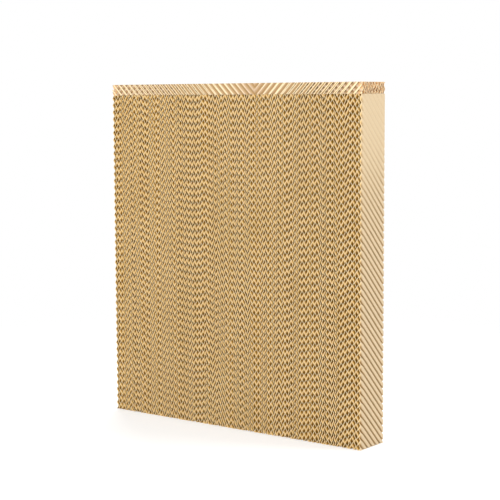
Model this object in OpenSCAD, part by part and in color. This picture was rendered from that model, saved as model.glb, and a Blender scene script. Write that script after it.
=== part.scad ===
// Evaporative cooling pad: corrugated paper sheets glued into an upright block,
// with a shallow strip of the same sheets, in two lengths, laid along its top edge.

/* [Pad] */
// Width across the front, along which the sheets are stacked
pad_w = 620; // [400:10:1200]
// Height from the floor to the top of the strip
pad_h = 690; // [300:10:2000]
// Thickness that the air passes through
pad_t = 80; // [50:5:200]

/* [Sheets] */
// Height of a flute, at which the sheets follow each other
flute_h = 7.5; // [5:0.5:20]
// Crest to crest distance square to the flutes
flute_pitch = 15.3; // [8:0.1:40]
// Lean of the flutes from the horizontal
flute_angle = 45; // [15:1:60]
// Thickness of the stiffened paper
paper_t = 0.5; // [0.2:0.1:0.8]
// Bead of glue between touching crests
glue_t = 0.2; // [0.1:0.05:0.5]

/* [Top strip] */
// Height of the strip along the top edge
strip_h = 22; // [10:1:60]
// Length of the strip's left part, up to where the right part meets it
strip_left = 372; // [100:1:390]

/* [Hidden] */

kraft = [0.80, 0.63, 0.40];
pale_kraft = [0.88, 0.74, 0.54];

// Whole pairs of rising and falling sheets that fill the width
sheet_pairs = max(1, round(pad_w / (2 * flute_h)));
sheet_step = pad_w / (2 * sheet_pairs);
block_h = pad_h - strip_h - glue_t;
// Whole sheets that fill the thickness of the strip
strip_sheets = max(1, round(pad_t / flute_h));
strip_step = pad_t / strip_sheets;
strip_right = pad_w - strip_left - glue_t;

// Half of the width and of the length that a leaning sheet's flutes have to cover
function half_span(long, wide, lean) = (long * cos(lean) + wide * sin(lean)) / 2;

// Section square to the flutes: a zigzag wall of one paper's thickness,
// its crests and troughs just clear of the neighbouring sheets by the glue
module flute_section(step, half_width) {
  half_flute = flute_pitch / 2;
  folds = ceil(half_width / half_flute) + 1;
  flank = atan2(step - glue_t - paper_t, half_flute);
  half_wall = paper_t / cos(flank) / 2;
  crest = (step - glue_t) / 2 - half_wall;
  function fold_y(i) = i % 2 == 0 ? crest : -crest;
  polygon(concat(
    [for (i = [-folds : folds]) [i * half_flute, fold_y(i) + half_wall]],
    [for (i = [folds : -1 : -folds]) [i * half_flute, fold_y(i) - half_wall]]
  ));
}

// One upright sheet of the block, across the thickness of the pad;
// lean is +1 for flutes that rise towards the back and -1 for falling ones
module block_sheet(lean) {
  cover = half_span(block_h, pad_t, flute_angle);
  reach = block_h + pad_t;
  intersection() {
    translate([-sheet_step, -pad_t / 2, 0]) cube([2 * sheet_step, pad_t, block_h]);
    translate([0, 0, block_h / 2]) rotate([lean * flute_angle, 0, 0]) rotate([0, 90, 90])
      translate([0, 0, -reach / 2]) linear_extrude(reach) flute_section(sheet_step, cover);
  }
}

// One sheet of the strip, parallel to the front and starting at its left end;
// lean is +1 for flutes that rise to the right and -1 for falling ones
module strip_sheet(lean, length) {
  cover = half_span(length, strip_h, flute_angle);
  reach = length + strip_h;
  intersection() {
    translate([0, -strip_step, 0]) cube([length, 2 * strip_step, strip_h]);
    translate([length / 2, 0, strip_h / 2]) rotate([0, lean * (90 - flute_angle), 0])
      translate([0, 0, -reach / 2]) linear_extrude(reach) flute_section(strip_step, cover);
  }
}

// Every second sheet of one part of the strip, from the given one behind the front;
// start is the distance from the pad's left end
module strip_part(lean, start, length, first) {
  for (i = [first : 2 : strip_sheets - 1])
    translate([start - pad_w / 2, (i + 0.5) * strip_step - pad_t / 2, pad_h - strip_h])
      strip_sheet(lean, length);
}

// Every second sheet of the block, from the left end
module rising_sheets() {
  color(kraft) for (i = [0 : sheet_pairs - 1])
    translate([(2 * i + 0.5) * sheet_step - pad_w / 2, 0, 0]) block_sheet(1);
}

// The sheets between them, up to the right end
module falling_sheets() {
  color(kraft) for (i = [0 : sheet_pairs - 1])
    translate([(2 * i + 1.5) * sheet_step - pad_w / 2, 0, 0]) block_sheet(-1);
}

// The strip's sheets that rise to the right; one of them is the right part's front
module strip_rising_sheets() {
  color(pale_kraft) {
    strip_part(1, 0, strip_left, 1);
    strip_part(1, strip_left + glue_t, strip_right, 0);
  }
}

// The strip's sheets that fall to the right; one of them is the left part's front
module strip_falling_sheets() {
  color(pale_kraft) {
    strip_part(-1, 0, strip_left, 0);
    strip_part(-1, strip_left + glue_t, strip_right, 1);
  }
}

rising_sheets();
falling_sheets();
strip_rising_sheets();
strip_falling_sheets();
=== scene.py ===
"""Looks of an evaporative cooling pad.

Corrugated kraft paper sheets stand side by side across the width of the pad, with flutes
that rise and fall towards the back by turns. A shallow strip of the same sheets lies along
the top edge in two lengths, whose sawn fronts run at a slight skew through the sheets.
"""

import logging
import math
import random
from dataclasses import dataclass, field, replace
from enum import Enum

import bmesh
import bpy
from mathutils import Matrix, Vector

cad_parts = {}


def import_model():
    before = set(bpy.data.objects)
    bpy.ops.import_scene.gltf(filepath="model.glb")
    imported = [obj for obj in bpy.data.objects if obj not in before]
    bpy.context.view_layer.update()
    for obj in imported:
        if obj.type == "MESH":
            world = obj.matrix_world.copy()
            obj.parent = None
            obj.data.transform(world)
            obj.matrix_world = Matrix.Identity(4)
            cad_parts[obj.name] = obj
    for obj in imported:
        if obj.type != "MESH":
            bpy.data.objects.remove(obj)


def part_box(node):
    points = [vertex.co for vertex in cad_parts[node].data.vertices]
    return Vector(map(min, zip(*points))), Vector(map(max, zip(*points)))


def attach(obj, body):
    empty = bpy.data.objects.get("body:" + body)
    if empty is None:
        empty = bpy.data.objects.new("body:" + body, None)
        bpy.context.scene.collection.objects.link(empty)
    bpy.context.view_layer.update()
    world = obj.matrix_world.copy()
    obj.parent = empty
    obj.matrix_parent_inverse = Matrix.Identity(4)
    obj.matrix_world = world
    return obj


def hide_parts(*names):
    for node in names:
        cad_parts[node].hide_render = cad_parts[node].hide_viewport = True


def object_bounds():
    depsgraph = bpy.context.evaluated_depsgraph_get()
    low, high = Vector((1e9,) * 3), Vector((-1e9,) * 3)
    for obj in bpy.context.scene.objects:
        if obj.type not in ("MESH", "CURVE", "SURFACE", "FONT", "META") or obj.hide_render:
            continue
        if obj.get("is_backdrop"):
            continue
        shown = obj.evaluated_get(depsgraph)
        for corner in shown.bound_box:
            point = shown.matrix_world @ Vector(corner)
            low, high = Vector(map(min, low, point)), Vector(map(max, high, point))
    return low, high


LOG = logging.getLogger("cooling_pad")
TINT = "sheet_tint"
# Attribute of the paler tone: full on the crests and none in the valleys, which paints shade into the
# valleys.
PALE_WITH_VALLEY_SHADE = "sheet_pale_with_valley_shade"
SAW_REACH = 1e-6  # metres within which a corner counts as lying on a saw cut
SHARP_EDGE = math.radians(60.0)  # bend past which an edge is shaded sharp
FULL_TURN = 2.0 * math.pi
STRIP_PAPER = 0.0010  # thickness of the top strip's paper in metres

Triple = tuple[float, float, float]
Socket = bpy.types.NodeSocket


class Lean(Enum):
    """Way that the flutes of a sheet slant along its length."""

    RISING = 1
    FALLING = -1


class Face(Enum):
    """Material slots of a sheet: its broad faces and its sawn edges."""

    PAPER = 0
    CUT_EDGE = 1


def saw(bm: bmesh.types.BMesh, place: Triple, way: Triple) -> None:
    """Saw off what stands out of a mesh past a plane.

    Args:
        bm: The mesh to cut.
        place: A point of the plane in metres.
        way: Direction from the plane to the side that is taken off.
    """
    bmesh.ops.bisect_plane(
        bm,
        geom=[*bm.verts, *bm.edges, *bm.faces],
        dist=SAW_REACH,
        plane_co=place,
        plane_no=way,
        clear_outer=True,
    )


@dataclass(frozen=True)
class NodeBench:
    """Adds nodes to a tree and links them.

    Attributes:
        tree: Node tree that takes up the nodes.
    """

    tree: bpy.types.NodeTree

    def link(self, value: Socket, target: Socket) -> None:
        """Lead a value to the socket of another node."""
        self.tree.links.new(value, target)

    def place(self) -> Socket:
        """Give the coordinates of the object."""
        return self.tree.nodes.new("ShaderNodeTexCoord").outputs["Object"]

    def rays(self) -> bpy.types.NodeOutputs:
        """Give the kinds of ray that a light path tells apart."""
        return self.tree.nodes.new("ShaderNodeLightPath").outputs

    def attribute(self, name: str) -> Socket:
        """Give the value of a mesh attribute.

        Args:
            name: Name of the attribute.

        Returns:
            The attribute's value.
        """
        node = self.tree.nodes.new("ShaderNodeAttribute")
        node.attribute_name = name
        return node.outputs["Fac"]

    def along(self, place: Socket, axis: str) -> Socket:
        """Give one of the coordinates of a place.

        Args:
            place: The coordinates.
            axis: "X", "Y" or "Z".

        Returns:
            The coordinate along the axis.
        """
        node = self.tree.nodes.new("ShaderNodeSeparateXYZ")
        self.link(place, node.inputs["Vector"])
        return node.outputs[axis]

    def length(self, place: Socket) -> Socket:
        """Give the distance of a place from the origin.

        Args:
            place: The coordinates.

        Returns:
            The distance.
        """
        node = self.tree.nodes.new("ShaderNodeVectorMath")
        node.operation = "LENGTH"
        self.link(place, node.inputs[0])
        return node.outputs["Value"]

    def stretched(self, place: Socket, scale: Triple) -> Socket:
        """Give coordinates drawn out along an axis.

        Args:
            place: The coordinates.
            scale: Factor along each axis; a smaller one draws a pattern out.

        Returns:
            The changed coordinates.
        """
        node = self.tree.nodes.new("ShaderNodeMapping")
        node.inputs["Scale"].default_value = scale
        self.link(place, node.inputs["Vector"])
        return node.outputs["Vector"]

    def noise(self, place: Socket, scale: float, detail: float) -> Socket:
        """Give a soft noise.

        Args:
            place: The coordinates.
            scale: Cells for each metre.
            detail: Number of finer layers.

        Returns:
            The noise, about from 0 to 1.
        """
        node = self.tree.nodes.new("ShaderNodeTexNoise")
        node.inputs["Scale"].default_value = scale
        node.inputs["Detail"].default_value = detail
        self.link(place, node.inputs["Vector"])
        return node.outputs["Fac"]

    def spread(self, value: Socket, low: float, high: float) -> Socket:
        """Spread a value from 0 to 1 over another range.

        Args:
            value: The value.
            low: What 0 becomes.
            high: What 1 becomes.

        Returns:
            The value in its new range.
        """
        node = self.tree.nodes.new("ShaderNodeMapRange")
        node.inputs["To Min"].default_value = low
        node.inputs["To Max"].default_value = high
        self.link(value, node.inputs["Value"])
        return node.outputs["Result"]

    def band(self, value: Socket, zero: float, one: float, soft: bool = False) -> Socket:
        """Cut a band out of a value and spread it from 0 to 1.

        Args:
            value: The value.
            zero: Value that becomes 0.
            one: Value that becomes 1.
            soft: Whether the band eases in and out at its ends.

        Returns:
            The share of the band, from 0 to 1.
        """
        node = self.tree.nodes.new("ShaderNodeMapRange")
        node.interpolation_type = "SMOOTHSTEP" if soft else "LINEAR"
        node.inputs["From Min"].default_value = zero
        node.inputs["From Max"].default_value = one
        self.link(value, node.inputs["Value"])
        return node.outputs["Result"]

    def reckon(self, operation: str, first: Socket, second: "Socket | float" = 0.0) -> Socket:
        """Join a value with another value or number.

        Args:
            operation: Name of the operation.
            first: The value.
            second: The other value or number, which some operations leave unused.

        Returns:
            The result.
        """
        node = self.tree.nodes.new("ShaderNodeMath")
        node.operation = operation
        self.link(first, node.inputs[0])
        if isinstance(second, float):
            node.inputs[1].default_value = second
        else:
            self.link(second, node.inputs[1])
        return node.outputs[0]

    def mix(self, share: Socket, first: "Socket | Triple", second: Triple) -> Socket:
        """Mix a colour into another.

        Args:
            share: Share of the second colour, from 0 to 1.
            first: The first colour.
            second: The second colour, linear RGB.

        Returns:
            The mixed colour.
        """
        node = self.tree.nodes.new("ShaderNodeMix")
        node.data_type = "RGBA"
        colours = [socket for socket in node.inputs if socket.type == "RGBA"]
        self.link(share, node.inputs["Factor"])
        if isinstance(first, tuple):
            colours[0].default_value = (*first, 1.0)
        else:
            self.link(first, colours[0])
        colours[1].default_value = (*second, 1.0)
        return next(socket for socket in node.outputs if socket.type == "RGBA")


@dataclass(frozen=True)
class PaperFinish:
    """Matt kraft paper, stiffened with resin.

    Attributes:
        name: Name of the material.
        colour: Main colour of the paper, linear RGB.
        stain: Colour of the resin stains and the darker sheets, linear RGB.
        pale_tone_and_crest_light: Paler colour of the upper faces, full on the crests and none in the
            valleys, which paints shade into the valleys, linear RGB.
        painted_shade: Colour of the painted shade that darkens the paper inside the flutes, away from the
            light, linear RGB.
        axis: Axis along which the light comes in, "X" or "Y".
        lip: Depths from the cut edge where the painted shade inside the flutes begins and where it is full,
            in metres.
        fleck: Depth of the fibre flecks, from 0 to 1.
        roughness: Middle of the roughness.
        relief: Height of the fibre relief in metres.
        rough_spread: How far the roughness strays from its middle.
        specular: Level of the sheen.
        bump: Strength of the fibre relief.
        stain_scale: Stains for each metre.
        stain_band: Values of the stains' noise where they begin and where they are full.
        fibre_scale: Fibres for each metre.
        fibre_draw: Factors that draw the fibres out along the height.
        fleck_band: Values of the fibres' noise where flecks begin and where they are full.
    """

    name: str
    colour: Triple
    stain: Triple
    pale_tone_and_crest_light: Triple
    painted_shade: Triple
    axis: str
    lip: tuple[float, float]
    fleck: float
    roughness: float
    relief: float
    rough_spread: float = 0.08
    specular: float = 0.10
    bump: float = 0.6
    stain_scale: float = 14.0
    stain_band: tuple[float, float] = (0.30, 0.75)
    fibre_scale: float = 900.0
    fibre_draw: Triple = (1.0, 1.0, 0.25)
    fleck_band: tuple[float, float] = (0.52, 0.72)

    def make(self, half_size: Vector) -> bpy.types.Material:
        """Build the node material.

        Args:
            half_size: Half of the pad's sizes in metres, at which the flutes open.

        Returns:
            The finished material.
        """
        material = bpy.data.materials.new(self.name)
        material.use_nodes = True
        shader = material.node_tree.nodes["Principled BSDF"]
        shader.inputs["Specular IOR Level"].default_value = self.specular
        bench = NodeBench(material.node_tree)
        place = bench.place()
        fibres = bench.noise(bench.stretched(place, self.fibre_draw), self.fibre_scale, detail=3.0)
        bench.link(self._coloured(bench, place, fibres, half_size), shader.inputs["Base Color"])
        rough = bench.spread(fibres, self.roughness - self.rough_spread, self.roughness + self.rough_spread)
        bench.link(rough, shader.inputs["Roughness"])
        bump = material.node_tree.nodes.new("ShaderNodeBump")
        bump.inputs["Strength"].default_value = self.bump
        bump.inputs["Distance"].default_value = self.relief
        bench.link(fibres, bump.inputs["Height"])
        bench.link(bump.outputs["Normal"], shader.inputs["Normal"])
        return material

    def _coloured(self, bench: NodeBench, place: Socket, fibres: Socket, half_size: Vector) -> Socket:
        """Lay the stains, the painted shade inside the flutes, the paler tone with its painted shade in the
        valleys, and the flecks over the paper.

        Args:
            bench: Bench of the material's tree.
            place: Coordinates of the object.
            fibres: Noise of the fibres.
            half_size: Half of the pad's sizes in metres.

        Returns:
            The colour of the paper.
        """
        stains = bench.noise(place, self.stain_scale, detail=4.0)
        share = bench.reckon("MULTIPLY", bench.attribute(TINT), bench.band(stains, *self.stain_band))
        stained = bench.mix(share, self.colour, self.stain)
        # Painted shade: the paper darkens from just behind the cut edges into the flutes.
        across = bench.reckon("ABSOLUTE", bench.along(place, self.axis))
        edge = half_size["XYZ".index(self.axis)]
        within = bench.band(across, edge - self.lip[0], edge - self.lip[1])
        shaded_paper = bench.mix(within, stained, self.painted_shade)
        # Paler tone, full on the crests and none in the valleys: painted shade in the valleys.
        paled_with_valley_shade = bench.mix(bench.attribute(PALE_WITH_VALLEY_SHADE), shaded_paper, self.pale_tone_and_crest_light)
        fleck = bench.reckon("MULTIPLY", bench.band(fibres, *self.fleck_band), self.fleck)
        return bench.mix(fleck, paled_with_valley_shade, self.stain)


@dataclass(frozen=True)
class FloorFinish:
    """Plain pale floor that keeps the pad's shadow and runs out into the white background.

    Attributes:
        colour: Grey level of the floor.
        roughness: Roughness of the floor.
        glow: Light that the camera alone sees on it.
        fade: Distances from the pad's middle where the floor begins to run out and where it ends, in metres.
    """

    colour: float = 0.60
    roughness: float = 0.9
    glow: float = 0.48
    fade: tuple[float, float] = (0.6, 1.5)

    def make(self) -> bpy.types.Material:
        """Build the node material.

        Returns:
            The finished material.
        """
        material = bpy.data.materials.new("floor")
        material.use_nodes = True
        shader = material.node_tree.nodes["Principled BSDF"]
        shader.inputs["Base Color"].default_value = (self.colour, self.colour, self.colour, 1.0)
        shader.inputs["Roughness"].default_value = self.roughness
        shader.inputs["Emission Color"].default_value = (1.0, 1.0, 1.0, 1.0)
        bench = NodeBench(material.node_tree)
        glow = bench.reckon("MULTIPLY", bench.rays()["Is Camera Ray"], self.glow)
        bench.link(glow, shader.inputs["Emission Strength"])
        near, far = self.fade
        bench.link(bench.band(bench.length(bench.place()), far, near, soft=True), shader.inputs["Alpha"])
        return material


@dataclass(frozen=True)
class Flute:
    """Wave of the paper along a sheet.

    Attributes:
        height: Height of the wave from trough to crest, over the paper, in metres.
        pitch: Distance from crest to crest along the sheet, in metres.
        angle: Lean of the flutes from the sheet's length to its depth, in radians.
        paper: Thickness of the paper in metres.
        roundness: 0 for a sine wave, towards 1 for straight flanks with tight bends.
        steps: Flat strips that make up one wave.
    """

    height: float = 0.0048
    pitch: float = 0.01441
    angle: float = math.radians(45.0)
    paper: float = 0.0009
    roundness: float = 0.90
    steps: int = 8

    def offset(self, turn: float) -> float:
        """Give the height of the paper's middle above the sheet's mid-plane, for a turn in radians."""
        wave = math.asin(self.roundness * math.sin(turn)) / math.asin(self.roundness)
        return wave * (self.height - self.paper) / 2.0

    def wall(self, turn: float) -> float:
        """Give the paper's thickness measured along the wave's height.

        Args:
            turn: Turn of the wave in radians.

        Returns:
            The thickness in metres, which grows with the slope of the paper.
        """
        small = 0.05
        run = 2.0 * small / FULL_TURN * self.pitch * math.cos(self.angle)
        slope = (self.offset(turn + small) - self.offset(turn - small)) / run
        return self.paper * math.hypot(1.0, slope)


@dataclass(frozen=True)
class Press:
    """Flattening of the bare crests of a sheet at the end of the stack.

    Attributes:
        flat: Share of each wave that lies flat at the crests.
        shut: Share of the valleys' depth that is lost where the press is hardest.
        reach: Places along the sheet, from 0 to 1, where the press begins and where it is hardest.
        lip: Distance from the front cut edge over which the waves come back, in metres.
    """

    flat: float = 0.0
    shut: float = 0.0
    reach: tuple[float, float] = (0.0, 1.0)
    lip: float = 0.008

    def drop(self, share: float, along: float, inside: float) -> float:
        """Give the drop below the crests after pressing.

        Args:
            share: Drop of the free wave, from 0 at the crests to 1 at the troughs.
            along: Place along the sheet, from 0 to 1.
            inside: Distance from the front cut edge in metres.

        Returns:
            The drop of the pressed wave, from 0 to 1.
        """
        start, end = self.reach
        force = min(1.0, max(0.0, (along - start) / (end - start)))
        force = force * force * (3.0 - 2.0 * force)
        hold = min(1.0, inside / self.lip)
        flat = self.flat * hold
        return max(0.0, share - flat) / (1.0 - flat) * (1.0 - self.shut * force * hold)


@dataclass
class Sheet:
    """One corrugated sheet, made along X with its depth along Y and its waves along Z.

    Attributes:
        flute: Wave of the paper.
        length: Length along which the waves follow each other, in metres.
        depth: Width that each flute crosses, in metres.
        lean: Way that the flutes slant.
        phase: Turn of the wave at the middle of the sheet, in radians.
        stretch: Change of the flute pitch in this sheet.
        tint: How dark the sheet's resin is, from 0 to 1.
        pale: How pale the sheet's upper face is, from 0 to 1; the paleness thins out into the valleys, which
            paints shade there.
        press: Flattening of the crests.
        rows: Rows of faces from one cut edge to the other.
        spare: Flat strips past the ends of the sheet, which are sawn off.
    """

    flute: Flute
    length: float
    depth: float
    lean: Lean
    phase: float
    stretch: float = 1.0
    tint: float = 0.5
    pale: float = 0.0
    press: Press = Press()
    rows: int = 1
    spare: int = 4

    def build(self, placing: Matrix) -> bmesh.types.BMesh:
        """Model the sheet and put it in its place.

        Args:
            placing: Matrix that takes the sheet from its own axes to the pad's.

        Returns:
            The closed sheet.
        """
        bm = self._flat()
        for end in (-1.0, 1.0):
            saw(bm, (end * self.length / 2.0, 0.0, 0.0), (end, 0.0, 0.0))
        tint = bm.verts.layers.float.new(TINT)
        pale = bm.verts.layers.float.new(PALE_WITH_VALLEY_SHADE)
        for vert in bm.verts:
            vert[tint] = self.tint
            # The paler tone thins from the crests to none in the valleys, which paints shade into the
            # valleys.
            vert[pale] = self.pale * (1.0 - self._drop(vert.co))
        self._thicken(bm, pale)
        bmesh.ops.transform(bm, matrix=placing, verts=bm.verts)
        bmesh.ops.recalc_face_normals(bm, faces=bm.faces)
        return bm

    def _flat(self) -> bmesh.types.BMesh:
        """Lay out the flat sheet in slanting strips that follow its flutes, longer than it will be.

        Returns:
            The flat sheet.
        """
        strip = self.flute.pitch * self.stretch / self.flute.steps
        span = self.length + self.depth * math.tan(self.flute.angle)
        strips = math.ceil(span / strip) + self.spare
        shift = -self.phase / FULL_TURN * self.flute.steps % 1.0 * strip
        size = Matrix.Diagonal((strips * strip, self.depth, 1.0, 1.0))
        slant = Matrix.Identity(4)
        slant[0][1] = self.lean.value * math.tan(self.flute.angle)
        bm = bmesh.new()
        bmesh.ops.create_grid(bm, x_segments=strips, y_segments=self.rows, size=0.5)
        bmesh.ops.transform(bm, matrix=size, verts=bm.verts)
        bmesh.ops.translate(bm, vec=(shift + strips % 2 * strip / 2.0, 0.0, 0.0), verts=bm.verts)
        bmesh.ops.transform(bm, matrix=slant, verts=bm.verts)
        return bm

    def _turn(self, place: Vector) -> float:
        """Give the turn of the wave at a place on the flat sheet, in radians."""
        along = place.x - self.lean.value * math.tan(self.flute.angle) * place.y
        return self.phase + FULL_TURN * along / (self.flute.pitch * self.stretch)

    def _drop(self, place: Vector) -> float:
        """Give the drop of the paper below the crests, from 0 to 1, at a place on the flat sheet."""
        share = 0.5 - self.flute.offset(self._turn(place)) / (self.flute.height - self.flute.paper)
        return self.press.drop(share, place.x / self.length + 0.5, self.depth / 2.0 + place.y)

    def _fold(self, place: Vector, side: float) -> float:
        """Give the height of a face of the paper at a place on the flat sheet.

        Args:
            place: Place on the flat sheet.
            side: 0.5 for the upper face of the paper and -0.5 for the lower one.

        Returns:
            Height over the sheet's mid-plane in metres.
        """
        drop = self._drop(place)
        wall = self.flute.wall(self._turn(place)) if drop > 0.0 else self.flute.paper
        return (self.flute.height - self.flute.paper) * (0.5 - drop) + side * wall

    def _thicken(self, bm: bmesh.types.BMesh, pale: bmesh.types.BMLayerItem) -> None:
        """Fold the flat sheet into its waves and give it the paper's thickness.

        Args:
            bm: The flat sheet.
            pale: Layer of the paler tone with its painted shade in the valleys, which is kept on the upper
                face of the paper only.
        """
        under = list(bm.faces)
        grown = bmesh.ops.extrude_face_region(bm, geom=under)["geom"]
        upper = {v for v in grown if isinstance(v, bmesh.types.BMVert)}
        broad = {*under, *(f for f in grown if isinstance(f, bmesh.types.BMFace))}
        for vert in bm.verts:
            side = 0.5 if vert in upper else -0.5
            vert.co.z = self._fold(vert.co, side)
            if vert not in upper:
                vert[pale] = 0.0
        for face in bm.faces:
            face.smooth = face in broad
            face.material_index = (Face.PAPER if face in broad else Face.CUT_EDGE).value


@dataclass
class Piece:
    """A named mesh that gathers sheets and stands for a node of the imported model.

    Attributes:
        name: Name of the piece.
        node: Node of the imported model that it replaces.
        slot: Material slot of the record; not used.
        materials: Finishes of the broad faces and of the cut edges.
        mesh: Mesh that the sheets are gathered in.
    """

    name: str
    node: str
    slot: str
    materials: tuple[bpy.types.Material, bpy.types.Material]
    mesh: bmesh.types.BMesh = field(default_factory=bmesh.new)

    def __post_init__(self) -> None:
        """Give the mesh the layers that its sheets bring."""
        self.mesh.verts.layers.float.new(TINT)
        self.mesh.verts.layers.float.new(PALE_WITH_VALLEY_SHADE)

    def add(self, sheet: bmesh.types.BMesh) -> None:
        """Add a sheet to the piece.

        Args:
            sheet: The finished sheet, which is used up.
        """
        passing = bpy.data.meshes.new("passing")
        sheet.to_mesh(passing)
        sheet.free()
        self.mesh.from_mesh(passing)
        bpy.data.meshes.remove(passing)

    def finish(self) -> None:
        """Make the object, tie it to the frame and report it."""
        data = bpy.data.meshes.new(self.name)
        self.mesh.to_mesh(data)
        self.mesh.free()
        for material in self.materials:
            data.materials.append(material)
        data.set_sharp_from_angle(angle=SHARP_EDGE)
        thing = bpy.data.objects.new(self.name, data)
        bpy.context.scene.collection.objects.link(thing)
        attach(thing, "root")
        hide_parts(self.node)
        data.calc_loop_triangles()
        LOG.info("%s: %d triangles", self.name, len(data.loop_triangles))


@dataclass
class SheetBlock:
    """The upright block of sheets that stand side by side across the width.

    Attributes:
        low: Lowest corner of the block in metres.
        high: Highest corner of the block in metres.
        flute: Wave of the sheets.
        step: Distance from sheet to sheet in metres.
        bands: Pieces that each lean is shared out to, from left to right.
        ends: Flattening of the sheets at the left and the right end of the stack.
        end_steps: Flat strips in one wave of the end sheets.
        end_rows: Rows of faces across the end sheets.
        drift: Spread of the turn from a sheet to the next one of its lean, in radians.
        stray: Spread of the flute pitch from sheet to sheet, as a share.
        tints: Lightest and darkest resin of the sheets.
        seed: Seed of the chances of the stacking.
    """

    low: Vector
    high: Vector
    flute: Flute
    step: float = 0.005
    bands: tuple[str, ...] = ("left", "mid_left", "mid_right", "right")
    ends: tuple[Press, Press] = (
        Press(flat=0.45, shut=0.65, reach=(-1.0, 0.0)),
        Press(flat=0.60, shut=0.92, reach=(0.50, 0.95)),
    )
    end_steps: int = 24
    end_rows: int = 20
    drift: float = 1.5
    stray: float = 0.004
    tints: tuple[float, float] = (0.1, 0.9)
    seed: int = 11

    def build(self, materials: tuple[bpy.types.Material, bpy.types.Material]) -> None:
        """Model every sheet and gather them in pieces.

        Args:
            materials: Finishes of the broad faces and of the cut edges.
        """
        chance = random.Random(self.seed)
        size = self.high - self.low
        middle = (self.high + self.low) / 2.0
        count = 2 * round(size.x / self.step / 2.0)
        step = size.x / count
        nodes = {lean: f"{lean.name.lower()}_sheets" for lean in Lean}
        pieces = {
            (lean, band): Piece(f"{node}_{band}", node, "kraft_paper", materials)
            for lean, node in nodes.items()
            for band in self.bands
        }
        phases = {lean: chance.uniform(0.0, FULL_TURN) for lean in Lean}
        for index in range(count):
            lean = Lean.RISING if index % 2 == 0 else Lean.FALLING
            phases[lean] += chance.gauss(0.0, self.drift)
            end = {0: self.ends[0], count - 1: self.ends[1]}.get(index)
            sheet = Sheet(
                flute=replace(self.flute, steps=self.end_steps) if end else self.flute,
                length=size.z,
                depth=size.y,
                lean=lean,
                phase=phases[lean],
                stretch=chance.gauss(1.0, self.stray),
                tint=chance.uniform(*self.tints),
                pale=1.0 if end else 0.0,
                press=end or Press(),
                rows=self.end_rows if end else 1,
            )
            place = Vector((self.low.x + (index + 0.5) * step, middle.y, middle.z))
            band = self.bands[index * len(self.bands) // count]
            outward = -1.0 if index == 0 else 1.0
            pieces[lean, band].add(sheet.build(self._upright(place, outward)))
        for piece in pieces.values():
            piece.finish()

    @staticmethod
    def _upright(place: Vector, outward: float) -> Matrix:
        """Give the matrix that stands a sheet up across the pad's thickness.

        Args:
            place: Middle of the sheet.
            outward: 1 for a sheet whose upper face looks to the right, -1 for one that looks to the left.

        Returns:
            The matrix, with the sheet's length up, its depth to the back and its waves to the side.
        """
        turn = Matrix(((0.0, 0.0, outward), (0.0, 1.0, 0.0), (1.0, 0.0, 0.0)))
        return Matrix.Translation(place) @ turn.to_4x4()


@dataclass(frozen=True)
class StripLength:
    """One of the lengths that the top strip is laid from.

    Attributes:
        reach: Places of its two ends across the width of the pad, from 0 to 1.
        front: Lean of its front sheet.
        sawn: Share of the front sheet that the saw took off at the left and the right end.
    """

    reach: tuple[float, float]
    front: Lean
    sawn: tuple[float, float]


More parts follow.
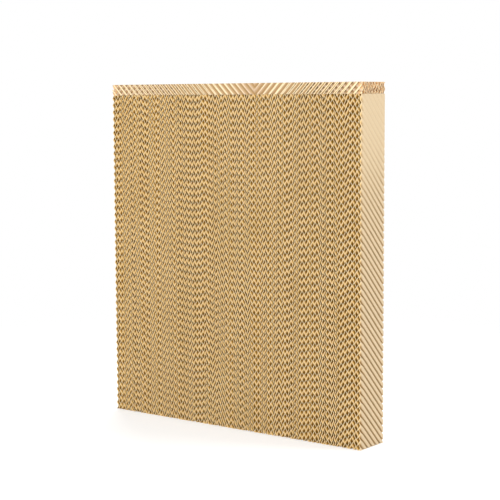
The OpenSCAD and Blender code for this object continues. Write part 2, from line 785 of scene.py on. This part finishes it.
@dataclass
class TopStrip:
    """The strip of sheets that lie along the width on top of the block.

    Attributes:
        low: Lowest corner of the strip in metres.
        high: Highest corner of the strip in metres.
        flute: Wave of the sheets.
        step: Distance from sheet to sheet in metres.
        lengths: Lengths that are laid end to end, from left to right.
        gap: Width of the joint between them in metres.
        tints: Lightest and darkest resin of the sheets.
        seed: Seed of the chances of the stacking.
    """

    low: Vector
    high: Vector
    flute: Flute
    step: float = 0.005
    lengths: tuple[StripLength, ...] = (
        StripLength(reach=(0.0, 0.6), front=Lean.FALLING, sawn=(0.85, 0.02)),
        StripLength(reach=(0.6, 1.0), front=Lean.RISING, sawn=(0.02, 0.85)),
    )
    gap: float = 0.0002
    tints: tuple[float, float] = (0.1, 0.6)
    seed: int = 5

    def build(self, materials: tuple[bpy.types.Material, bpy.types.Material]) -> None:
        """Model every sheet, cut the front and back, and gather them in pieces.

        Args:
            materials: Finishes of the broad faces and of the cut edges.
        """
        chance = random.Random(self.seed)
        names = {lean: f"{lean.name.lower()}_sheets" for lean in Lean}
        pieces = {
            lean: Piece(f"top_{name}", f"strip_{name}", "pale_kraft_paper", materials)
            for lean, name in names.items()
        }
        for part in self.lengths:
            self._lay(part, chance, pieces)
        for piece in pieces.values():
            piece.finish()

    def _lay(self, part: StripLength, chance: random.Random, pieces: dict[Lean, Piece]) -> None:
        """Model the sheets of one length.

        Args:
            part: The length to lay.
            chance: Source of the chances of the stacking.
            pieces: Pieces that take up the sheets, by their lean.
        """
        size = self.high - self.low
        middle = (self.high + self.low) / 2.0
        left, right = (self.low.x + end * size.x for end in part.reach)
        length = right - left - self.gap
        skew = (part.sawn[0] - part.sawn[1]) * self.step / length
        sawn = sum(part.sawn) / 2.0
        for index in range(round(size.y / self.step) + 1):
            lean = part.front if index % 2 == 0 else Lean(-part.front.value)
            sheet = Sheet(
                flute=self.flute,
                length=length,
                depth=size.z,
                lean=lean,
                phase=chance.uniform(0.0, FULL_TURN),
                tint=chance.uniform(*self.tints),
                pale=1.0,
            )
            place = Vector(((left + right) / 2.0, self.low.y + (index + 0.5 - sawn) * self.step, middle.z))
            bm = sheet.build(self._along(place, skew))
            self._cut(bm)
            pieces[lean].add(bm)

    @staticmethod
    def _along(place: Vector, skew: float) -> Matrix:
        """Give the matrix that lays a sheet along the width with its depth upright.

        Args:
            place: Middle of the sheet.
            skew: Run of the sheet to the back for each metre of its length.

        Returns:
            The matrix, with the sheet's length to the right, its depth up and its waves to the front.
        """
        turn = Matrix(((1.0, 0.0, 0.0), (skew, 0.0, -1.0), (0.0, 1.0, 0.0)))
        return Matrix.Translation(place) @ turn.to_4x4()

    def _cut(self, bm: bmesh.types.BMesh) -> None:
        """Saw off what stands out of the strip's front and back, and close the cuts.

        Args:
            bm: The sheet to cut.
        """
        for edge, way in ((self.low.y, -1.0), (self.high.y, 1.0)):
            saw(bm, (0.0, edge, 0.0), (0.0, way, 0.0))
            rims = [e for e in bm.edges if e.is_boundary]
            if rims:
                closed = bmesh.ops.holes_fill(bm, edges=rims, sides=0)["faces"]
                for face in closed:
                    face.material_index = Face.CUT_EDGE.value


@dataclass(frozen=True)
class Lamp:
    """A broad soft lamp that faces the pad.

    Attributes:
        name: Name of the lamp.
        place: Place of the lamp in metres.
        size: Side of the lamp in metres.
        power: Power in watts.
        aim: Place that it faces, in metres.
    """

    name: str
    place: Triple
    size: float
    power: float
    aim: Triple = (0.0, 0.0, 0.35)

    def hang(self, scene: bpy.types.Scene) -> None:
        """Add the lamp.

        Args:
            scene: Scene that the lamp goes in.
        """
        data = bpy.data.lights.new(self.name, "AREA")
        data.size = self.size
        data.energy = self.power
        lamp = bpy.data.objects.new(self.name, data)
        lamp.location = self.place
        lamp.rotation_mode = "QUATERNION"
        lamp.rotation_quaternion = (Vector(self.aim) - Vector(self.place)).to_track_quat("-Z", "Y")
        scene.collection.objects.link(lamp)


@dataclass
class Studio:
    """Camera, floor and soft light round the pad.

    Attributes:
        eye: Place of the camera in metres.
        azimuth: Turn of the view to the right of the front, in degrees.
        elevation: Height of the view above the horizon, in degrees.
        roll: Tilt of the camera in degrees.
        lens: Focal length in millimetres.
        sensor: Width of the sensor in millimetres.
        lamps: Lamps over the front, over the right side and behind the left end.
        sky: Strength of the even light from all round.
        floor: Finish of the floor.
        floor_reach: Half of the floor's side in metres.
        floor_drop: Depth of the floor under the pad in metres.
    """

    eye: Triple = (1.7152, -2.2214, 0.6559)
    azimuth: float = 37.342
    elevation: float = 6.069
    roll: float = -0.260
    lens: float = 101.09
    sensor: float = 36.0
    lamps: tuple[Lamp, ...] = (
        Lamp("front_lamp", place=(0.6, -2.3, 1.1), size=1.2, power=51.0),
        Lamp("side_lamp", place=(2.3, 1.0, 1.8), size=0.9, power=37.0),
        Lamp("back_lamp", place=(-1.3, 1.5, 2.2), size=1.4, power=36.0),
    )
    sky: float = 0.45
    floor: FloorFinish = FloorFinish()
    floor_reach: float = 20.0
    floor_drop: float = 0.0005

    def build(self) -> None:
        """Set up the camera, the light and the floor."""
        scene = bpy.context.scene
        scene.view_settings.view_transform = "Standard"
        self._set_camera(scene)
        self._light_sky(scene)
        for lamp in self.lamps:
            lamp.hang(scene)
        self._lay_floor(scene)

    def _set_camera(self, scene: bpy.types.Scene) -> None:
        """Put the camera at the photograph's viewing angle.

        Args:
            scene: Scene that the camera goes in.
        """
        data = bpy.data.cameras.new("camera")
        data.sensor_width = self.sensor
        data.lens = self.lens
        camera = bpy.data.objects.new("camera", data)
        camera.rotation_mode = "QUATERNION"
        turn = (
            Matrix.Rotation(math.radians(self.azimuth), 4, "Z")
            @ Matrix.Rotation(math.radians(90.0 - self.elevation), 4, "X")
            @ Matrix.Rotation(math.radians(self.roll), 4, "Z")
        )
        camera.location = self.eye
        camera.rotation_quaternion = turn.to_quaternion()
        scene.collection.objects.link(camera)
        scene.camera = camera

    def _light_sky(self, scene: bpy.types.Scene) -> None:
        """Light the pad evenly from all round, in front of a white background.

        Args:
            scene: Scene that the light goes in.
        """
        world = bpy.data.worlds.new("studio")
        world.use_nodes = True
        back = world.node_tree.nodes["Background"]
        back.inputs["Color"].default_value = (1.0, 1.0, 1.0, 1.0)
        bench = NodeBench(world.node_tree)
        rays = bench.rays()
        seen = rays["Is Camera Ray"]
        for ray in ("Is Glossy Ray", "Is Transmission Ray"):
            seen = bench.reckon("MAXIMUM", seen, rays[ray])
        bench.link(bench.spread(seen, self.sky, 1.0), back.inputs["Strength"])
        scene.world = world

    def _lay_floor(self, scene: bpy.types.Scene) -> None:
        """Lay the floor under the pad.

        Args:
            scene: Scene that the floor goes in.
        """
        bm = bmesh.new()
        bmesh.ops.create_grid(bm, x_segments=1, y_segments=1, size=self.floor_reach)
        bmesh.ops.translate(bm, vec=(0.0, 0.0, -self.floor_drop), verts=bm.verts)
        data = bpy.data.meshes.new("floor")
        bm.to_mesh(data)
        bm.free()
        data.materials.append(self.floor.make())
        floor = bpy.data.objects.new("floor", data)
        scene.collection.objects.link(floor)
        floor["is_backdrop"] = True


KRAFT = PaperFinish(
    name="kraft_paper",
    colour=(0.87, 0.57, 0.20),
    stain=(0.74, 0.46, 0.14),
    # Paler tone of the end sheets' outward faces; it thins into the valleys, which paints shade there.
    pale_tone_and_crest_light=(0.80, 0.63, 0.41),
    # Painted shade inside the flutes, beginning 1.2 mm behind the front and back cut faces and full from 3
    # mm in.
    painted_shade=(0.33, 0.165, 0.022),
    axis="Y",
    lip=(0.0012, 0.0030),
    fleck=0.25,
    roughness=0.85,
    relief=0.00012,
)
PALE_KRAFT = replace(
    KRAFT,
    name="pale_kraft_paper",
    colour=(0.92, 0.62, 0.32),
    stain=(0.80, 0.50, 0.22),
    # Paler tone of the strip sheets' front faces; it thins into the valleys, which paints shade there.
    pale_tone_and_crest_light=(0.68, 0.50, 0.34),
    # Painted shade through the strip, beginning 6 mm in from its sawn ends and full from 12 mm in.
    painted_shade=(0.44, 0.28, 0.12),
    axis="X",
    lip=(0.006, 0.012),
)
CUT_KRAFT = PaperFinish(
    name="cut_kraft_edge",
    colour=(0.98, 0.78, 0.46),
    stain=(0.90, 0.66, 0.34),
    pale_tone_and_crest_light=(0.92, 0.70, 0.42),
    painted_shade=(0.98, 0.78, 0.46),
    axis="Y",
    lip=(0.0, 0.001),
    fleck=0.35,
    roughness=0.92,
    relief=0.00020,
)
CUT_PALE_KRAFT = replace(
    CUT_KRAFT,
    name="pale_cut_kraft_edge",
    colour=(0.97, 0.80, 0.51),
    stain=(0.90, 0.69, 0.38),
    pale_tone_and_crest_light=(0.92, 0.75, 0.50),
    painted_shade=(0.97, 0.80, 0.51),
)


def main() -> None:
    """Build the pad piece by piece, then the studio."""
    logging.basicConfig(level=logging.INFO, format="%(name)s: %(message)s")
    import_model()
    cad_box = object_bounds()
    low, high = cad_box
    strip_low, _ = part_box("strip_rising_sheets")
    _, block_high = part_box("rising_sheets")
    flute = Flute()
    half_size = (high - low) / 2.0
    paper, paper_edge = (finish.make(half_size) for finish in (KRAFT, CUT_KRAFT))
    pale, pale_edge = (finish.make(half_size) for finish in (PALE_KRAFT, CUT_PALE_KRAFT))
    block = SheetBlock(low=low, high=Vector((high.x, high.y, block_high.z)), flute=flute)
    block.build((paper, paper_edge))
    strip_flute = replace(flute, paper=STRIP_PAPER)
    strip = TopStrip(low=Vector((low.x, low.y, strip_low.z)), high=high, flute=strip_flute)
    strip.build((pale, pale_edge))
    Studio().build()


if __name__ == "__main__":
    main()
